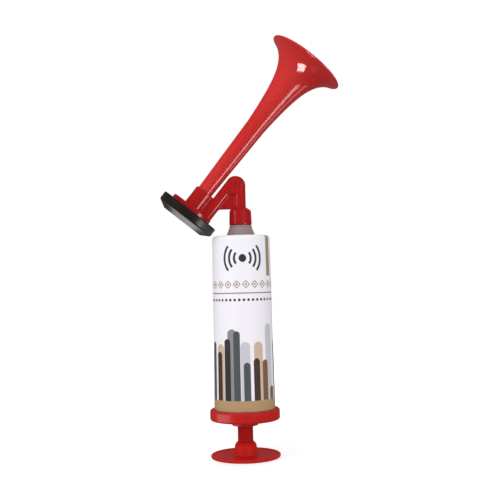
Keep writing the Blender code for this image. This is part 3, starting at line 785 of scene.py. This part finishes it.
def horn_head():
    """Socket, elbow, web, chamber and collar as overlapping closed shapes, to be fused and smoothed."""
    half = TRUMPET_LEAN / 2
    aim = np.array([-math.sin(half), 0.0, -math.cos(half)])
    centre = apex + aim * BEND_RADIUS / math.sin(half)
    sweep = math.pi - TRUMPET_LEAN
    angle = np.linspace(-BEND_OVERRUN, sweep + BEND_OVERRUN, BEND_STEPS + 1)
    outward = np.stack([np.cos(angle), np.zeros_like(angle), np.sin(angle)], axis=-1)
    bend_floor = BEND_SWELL * 3 - BEND_RADIUS
    bend = swept(centre + outward * BEND_RADIUS, outward, PIPE_RADIUS + BEND_SWELL, bend_floor)

    fill_foot = centre[2] - FILL_DROP
    fill_end = apex + slant * (apex[2] - fill_foot) / -slant[2]
    fill_start = apex + slant * (apex[2] - centre[2]) / -slant[2]
    fill_corners = [(0, fill_foot), (0, centre[2]), (fill_start[0], centre[2]), (fill_end[0], fill_foot)]
    fill = plate(fill_corners, FILL_THICKNESS)

    upright_foot = np.array([0, 0, socket_foot + SOCKET_HEIGHT + SOCKET_SHOULDER / 2])
    upright_top = np.array([0, 0, centre[2] + PIPE_OVERLAP])
    upright = swept(np.stack([upright_foot, upright_top]), np.array([[1.0, 0, 0]] * 2), PIPE_RADIUS)
    bend_end = centre - across * BEND_RADIUS - slant * PIPE_OVERLAP
    chamber_end = apex + slant * (CHAMBER_DROP + CHAMBER_ROOF / 2)
    slanted = swept(np.stack([bend_end, chamber_end]), np.stack([-across] * 2), PIPE_RADIUS)

    web_level = socket_foot + WEB_FOOT_HEIGHT
    web_foot = apex + slant * (apex[2] - web_level) / -slant[2]
    web_corner = centre + slant * BEND_RADIUS
    web_corners = [(0, web_level), (0, centre[2]), (web_corner[0], centre[2]), (web_foot[0], web_foot[2])]
    web = plate(web_corners, WEB_THICKNESS)

    inner = COLLAR_RADIUS - (COLLAR_RADIUS - TRUMPET_TUBE_RADIUS - GAP) / 2
    outer = TRUMPET_OFFSET - PIPE_RADIUS / 2
    low, high = flange_face - CHAMBER_ROOF / 2, collar_top - GAP
    rib_corners = [(inner, low), (outer, low), (outer, high), (inner, high)]
    rib_points, rib_faces = plate(rib_corners, 2 * WEB_THICKNESS)
    rib = (rib_points @ trumpet_place[:3, :3].T + trumpet_place[:3, 3], rib_faces)

    recess = SPIGOT_RADIUS + GAP
    top = SOCKET_HEIGHT + SOCKET_SHOULDER
    cup = rounded(
        [
            (0, SPIGOT_LENGTH + GAP, 0),
            (recess, SPIGOT_LENGTH + GAP, 0),
            (recess, 0, CRISP_EDGE),
            (SOCKET_RADIUS, 0, SOFT_EDGE),
            (SOCKET_TOP_RADIUS, SOCKET_HEIGHT, ROUND_EDGE),
            (PIPE_RADIUS + GAP, top, 0),
            (0, top, 0),
        ]
    )
    collar_bore = TRUMPET_TUBE_RADIUS + GAP
    throat_outer = THROAT_RADIUS + THROAT_WALL
    stop = collar_top - TRUMPET_STOP_DEPTH
    throat = rounded(
        [
            (collar_bore, collar_top, CRISP_EDGE),
            (collar_bore, stop, 0),
            (THROAT_RADIUS, stop, 0),
            (THROAT_RADIUS, seat, CRISP_EDGE),
            (throat_outer, seat, CRISP_EDGE),
            (throat_outer, chamber_roof, SOFT_EDGE),
            (CHAMBER_RADIUS, chamber_roof, SOFT_EDGE),
            (CHAMBER_RADIUS, seat, 0),
            (CLAMP_RIM_RADIUS, seat, CRISP_EDGE),
            (CLAMP_RIM_RADIUS, rim_face, CRISP_EDGE),
            (FLANGE_RADIUS, rim_face, 0),
            (FLANGE_RADIUS, flange_face, BLUNT_EDGE),
            (COLLAR_RADIUS, flange_face, SOFT_EDGE),
            (COLLAR_RADIUS, collar_top, SOFT_EDGE),
        ]
    )
    chamber = turned(throat, trumpet_place)
    socket = turned(cup, raised(socket_foot))
    return joined(chamber, socket, bend, fill, upright, slanted, web, rib)


def fused(item):
    """Makes closed shapes one skin on a fine grid and smooths it, which rounds the inner corners."""
    skin = item.modifiers.new("skin", "REMESH")
    skin.mode = "VOXEL"
    skin.voxel_size = HEAD_VOXEL
    skin.use_smooth_shade = True
    finished(item, skin.name)
    even = item.modifiers.new("even", "SMOOTH")
    even.factor = 0.5
    even.iterations = HEAD_SMOOTHING
    finished(item, even.name)
    item.data.shade_smooth()


def bell():
    """Tapered tube with a flared mouth and a round lip.

    The outer radius is a steady taper, plus over the flare a gain times one over the distance to a point just
    past the mouth, less its value where the flare starts. The inner line runs one wall inside, square to it.
    """
    far = FLARE_LENGTH + FLARE_CURL
    tube_mouth = TRUMPET_TUBE_RADIUS + TRUMPET_TAPER * (TRUMPET_REACH - collar_top)
    gain = (MOUTH_RADIUS - TRUMPET_WALL / 2 - tube_mouth) / (1 / FLARE_CURL - 1 / far)
    distance = far * (FLARE_CURL / far) ** np.linspace(0, 1, FLARE_STEPS + 1)
    level = TRUMPET_REACH + FLARE_CURL - distance
    radius = TRUMPET_TUBE_RADIUS + TRUMPET_TAPER * (level - collar_top) + gain * (1 / distance - 1 / far)
    slope = TRUMPET_TAPER + gain / distance**2
    outer = np.stack([radius, level], axis=1)
    inward = np.stack([-np.ones_like(slope), slope], axis=1)
    inward /= np.linalg.norm(inward, axis=1, keepdims=True)
    inner = outer + inward * TRUMPET_WALL
    middle = (outer[-1] + inner[-1]) / 2
    spoke = outer[-1] - middle
    turn = math.pi * np.arange(1, LIP_STEPS)[:, None] / LIP_STEPS
    lip = middle + spoke * np.cos(turn) + np.array([-spoke[1], spoke[0]]) * np.sin(turn)
    foot = rounded(
        [
            (TRUMPET_TUBE_RADIUS - TRUMPET_WALL, collar_top, 0),
            (TRUMPET_TUBE_RADIUS - TRUMPET_WALL, trumpet_foot, CRISP_EDGE),
            (TRUMPET_TUBE_RADIUS, trumpet_foot, SOFT_EDGE),
            (TRUMPET_TUBE_RADIUS, collar_top, 0),
        ]
    )
    return np.concatenate([foot, outer, lip, inner[::-1]])


def chamber_back():
    """Bevelled back cap with a vent hole, snapped over the clamp rim."""
    bead = back_cap_inner_radius - SNAP_BEAD
    ledge_inner = back_cap_inner_radius - LEDGE_WIDTH
    return rounded(
        [
            (VENT_RADIUS, back_cap_face, CRISP_EDGE),
            (BACK_CAP_FACE_RADIUS, back_cap_face, BACK_CAP_FACE_ROUNDING),
            (BACK_CAP_RADIUS, back_cap_face + BACK_CAP_BEVEL, BACK_CAP_BEVEL_ROUNDING),
            (BACK_CAP_RADIUS, back_cap_edge, BACK_CAP_RIM_ROUNDING),
            (bead, back_cap_edge, SOFT_EDGE),
            (bead, rim_face + GAP, TINY_EDGE),
            (back_cap_inner_radius, rim_face + GAP, 0),
            (back_cap_inner_radius, ledge, 0),
            (ledge_inner, ledge, 0),
            (ledge_inner - LEDGE_WIDTH, back_cap_inside, SOFT_EDGE),
            (VENT_RADIUS, back_cap_inside, 0),
        ]
    )


outer_piece("grip_disc", turned(grip_disc()), red_handle_painted_light, "plunger", "handle")
outer_piece("rod_tube", turned(rod_tube(), turns=ROD_TURNS), red_rod_painted_shade, "plunger", "plunger_rod")
outer_piece("foot_cup", turned(foot_cup()), red_cap, "barrel", "end_cap")
outer_piece("barrel_tube", turned(barrel_tube()), barrel_grey, "barrel", "pump_barrel")
film_around = 2 * math.pi * (barrel_radius((sleeve_foot + sleeve_top) / 2) + GAP + SLEEVE_THICKNESS)
film_print = label_print(film_around, sleeve_top - sleeve_foot)
film = outer_piece("label_wrap", label_wrap(), film_print, "barrel", "label_sleeve")
unrolled(film)
head = outer_piece("horn_head", horn_head(), red_head_painted_shade, "horn", "horn_body")
fused(head)
outer_piece("bell", turned(bell(), trumpet_place), red_bell, "horn", "trumpet")
outer_piece(
    "chamber_back", turned(chamber_back(), trumpet_place), cap_black, "horn", "diaphragm_cap"
)

INNER_FINISHES = {
    "piston_head": piston_white,
    "seal_ring": greased_rubber(),
    "diaphragm": stretched_film(),
    "diaphragm_ring": ring_grey,
}
for node_name, material in INNER_FINISHES.items():
    node = frame["nodes"][node_name]
    for slot in node.material_slots:
        slot.material = material

# Floor, light and camera
BACKDROP_WHITE = 1.0
ROOM_LEVEL = 0.54
FRONT_GLOSS = 0.03
BACKDROP_GLOSS = 0.10
BEHIND_FROM, BEHIND_TO = 0.2, 0.95
FLOOR_HALF = 3.0
FLOOR_DROP = 0.0002
FLOOR_PALE = (0.50, 0.50, 0.50)
FLOOR_LIFT_NEAR, FLOOR_LIFT_FAR = 0.62, 1.0
FLOOR_NEAR, FLOOR_FAR = 0.06, 0.50


def backdrop():
    """Room light: white behind the object for camera, gloss and clear rays, dim from the camera's side."""
    world = bpy.data.worlds.new("studio")
    bpy.context.scene.world = world
    world.use_nodes = True
    nodes, links = world.node_tree.nodes, world.node_tree.links
    background = nodes["Background"]
    rays = nodes.new("ShaderNodeLightPath")
    seen = nodes.new("ShaderNodeMath")
    seen.operation = "MAXIMUM"
    links.new(rays.outputs["Is Glossy Ray"], seen.inputs[0])
    links.new(rays.outputs["Is Transmission Ray"], seen.inputs[1])
    direction = nodes.new("ShaderNodeTexCoord")
    split = nodes.new("ShaderNodeSeparateXYZ")
    links.new(direction.outputs["Generated"], split.inputs[0])
    behind = nodes.new("ShaderNodeMapRange")
    behind.inputs["From Min"].default_value = BEHIND_FROM
    behind.inputs["From Max"].default_value = BEHIND_TO
    behind.inputs["To Min"].default_value = FRONT_GLOSS
    behind.inputs["To Max"].default_value = BACKDROP_GLOSS
    links.new(split.outputs["Y"], behind.inputs["Value"])
    reflected = nodes.new("ShaderNodeMix")
    reflected.inputs["A"].default_value = ROOM_LEVEL
    links.new(seen.outputs[0], reflected.inputs["Factor"])
    links.new(behind.outputs[0], reflected.inputs["B"])
    looked_at = nodes.new("ShaderNodeMix")
    looked_at.inputs["B"].default_value = BACKDROP_WHITE
    links.new(rays.outputs["Is Camera Ray"], looked_at.inputs["Factor"])
    links.new(reflected.outputs[0], looked_at.inputs["A"])
    links.new(looked_at.outputs[0], background.inputs["Strength"])
    background.inputs["Color"].default_value = (1.0, 1.0, 1.0, 1.0)


def floor():
    """Pale floor with the object's shadow, white to the camera from above and clear from below.

    To the camera it glows a little, more with the distance from the object, and so runs into the backdrop.
    """
    corners = np.array([(-1, -1, 0), (1, -1, 0), (1, 1, 0), (-1, 1, 0)]) * FLOOR_HALF
    material = bpy.data.materials.new("floor_pale")
    material.use_nodes = True
    nodes, links = material.node_tree.nodes, material.node_tree.links
    shader = nodes["Principled BSDF"]
    shader.inputs["Base Color"].default_value = (*FLOOR_PALE, 1.0)
    shader.inputs["Roughness"].default_value = 0.7
    glow = nodes.new("ShaderNodeEmission")
    rays = nodes.new("ShaderNodeLightPath")
    spot = nodes.new("ShaderNodeTexCoord")
    away = nodes.new("ShaderNodeVectorMath")
    away.operation = "LENGTH"
    links.new(spot.outputs["Object"], away.inputs[0])
    rise = nodes.new("ShaderNodeMapRange")
    links.new(away.outputs["Value"], rise.inputs["Value"])
    rise.inputs["From Min"].default_value, rise.inputs["From Max"].default_value = FLOOR_NEAR, FLOOR_FAR
    rise.inputs["To Min"].default_value, rise.inputs["To Max"].default_value = FLOOR_LIFT_NEAR, FLOOR_LIFT_FAR
    lift = nodes.new("ShaderNodeMath")
    lift.operation = "MULTIPLY"
    links.new(rise.outputs[0], lift.inputs[0])
    links.new(rays.outputs["Is Camera Ray"], lift.inputs[1])
    links.new(lift.outputs[0], glow.inputs["Strength"])
    both = nodes.new("ShaderNodeAddShader")
    links.new(shader.outputs[0], both.inputs[0])
    links.new(glow.outputs[0], both.inputs[1])
    underside = nodes.new("ShaderNodeNewGeometry")
    one_way = nodes.new("ShaderNodeMixShader")
    links.new(underside.outputs["Backfacing"], one_way.inputs["Fac"])
    links.new(both.outputs[0], one_way.inputs[1])
    links.new(nodes.new("ShaderNodeBsdfTransparent").outputs[0], one_way.inputs[2])
    links.new(one_way.outputs[0], nodes["Material Output"].inputs["Surface"])
    item = piece("floor", corners - [0, 0, FLOOR_DROP], np.array([[0, 1, 2, 3]]), material)
    item.visible_glossy = False
    item.visible_shadow = False


def softbox(name, place, aim, size, power, along=(0, 0, 1), gloss=False, receivers=()):
    """Rectangular lamp that points at a spot, with its long side along a direction.

    It lights surfaces without being mirrored in them, or with gloss is only mirrored. Where receivers are
    named, it is screened off from every other piece, as a flag does in a studio.
    """
    lamp = bpy.data.lights.new(name, "AREA")
    lamp.shape = "RECTANGLE"
    lamp.size, lamp.size_y = size
    lamp.energy = power
    item = bpy.data.objects.new(name, lamp)
    back = (Vector(place) - Vector(aim)).normalized()
    side = Vector(along).cross(back).normalized()
    turn = Matrix((side, back.cross(side), back)).transposed().to_4x4()
    item.matrix_world = Matrix.Translation(place) @ turn
    item.visible_camera = False
    item.visible_glossy = gloss
    item.visible_diffuse = not gloss
    bpy.context.scene.collection.objects.link(item)
    if receivers:
        screened = bpy.data.collections.new(name + "_receivers")
        for receiver in receivers:
            screened.objects.link(bpy.data.objects[receiver])
        item.light_linking.receiver_collection = screened


def mirrored(name, seen_at, direction, size, strength, receivers, along=(0, 0, 1)):
    """Lamp that is only mirrored, a metre from a point of the plastic in the direction that it mirrors."""
    seen_at = Vector(seen_at)
    power = strength * math.pi * size[0] * size[1]
    place = seen_at + Vector(direction).normalized()
    softbox(name, place, seen_at, size, power, along, True, receivers)


def lamps():
    """Large soft lamps for the light, and screened ones for the highlights of the glossy plastic."""
    middle = (0.0, 0.0, 0.13)
    softbox("key", (-1.10, -0.45, 0.35), middle, (1.2, 1.2), 8.5)
    softbox("fill", (0.80, -0.95, 0.12), middle, (0.9, 0.9), 7.5)
    softbox("top", (-0.25, -0.55, 1.15), (0.0, 0.0, 0.10), (0.8, 0.8), 3.0)
    softbox("rim", (0.1, 0.8, 0.9), (0.0, 0.0, 0.15), (0.8, 0.5), 3.0)

    trumpet_side, trumpet_line = (0.008, -0.005, 0.183), tuple(-slant)
    bell_front = (0.036, -0.014, 0.219)
    cap_side, socket_side = (-0.017, -0.008, 0.03), (-0.005, -0.004, 0.135)
    bevel_front, wall_front = (-0.031, -0.013, 0.134), (-0.022, -0.015, 0.132)
    horn = ("bell", "horn_head")
    mirrored("stripe", trumpet_side, (0.68, -0.50, -0.53), (0.36, 0.70), 6.0, horn, trumpet_line)
    mirrored("edge_line", trumpet_side, (0.764, 0.17, -0.622), (0.26, 0.60), 1.8, ("bell",), trumpet_line)
    mirrored("square", bell_front, (-0.52, -0.50, -0.69), (0.44, 0.44), 18.0, ("bell",))
    mirrored("cap_glow", cap_side, (-0.92, -0.25, -0.20), (1.0, 0.6), 1.7, ("foot_cup",))
    mirrored("socket_line", socket_side, (-0.88, -0.45, 0.14), (0.30, 0.6), 1.8, ("horn_head",))
    mirrored("bevel", bevel_front, (-0.56, 0.50, -0.66), (0.70, 0.70), 3.4, ("chamber_back",))
    mirrored("wall", wall_front, (0.72, -0.40, -0.57), (0.30, 0.30), 8.0, ("chamber_back",))


def camera():
    """Camera at the photograph's place, found from points of the object whose pixels are known."""
    place = (0.01158, -0.488, 0.0976)
    pitch, turn, roll = math.radians(2.36), math.radians(0.761), math.radians(-1.398)
    focal_pixels, frame_pixels, sensor = 849.4, 500, 36.0
    lens = bpy.data.cameras.new("camera")
    lens.sensor_width = sensor
    lens.lens = focal_pixels * sensor / frame_pixels
    lens.clip_start, lens.clip_end = 0.01, 20.0
    item = bpy.data.objects.new("camera", lens)
    bpy.context.scene.collection.objects.link(item)
    look = Matrix.Rotation(turn, 4, "Z") @ Matrix.Rotation(math.pi / 2 + pitch, 4, "X")
    look = look @ Matrix.Rotation(roll, 4, "Z")
    item.matrix_world = Matrix.Translation(place) @ look
    bpy.context.scene.camera = item


backdrop()
floor()
lamps()
camera()
bpy.context.scene.view_settings.view_transform = "Standard"
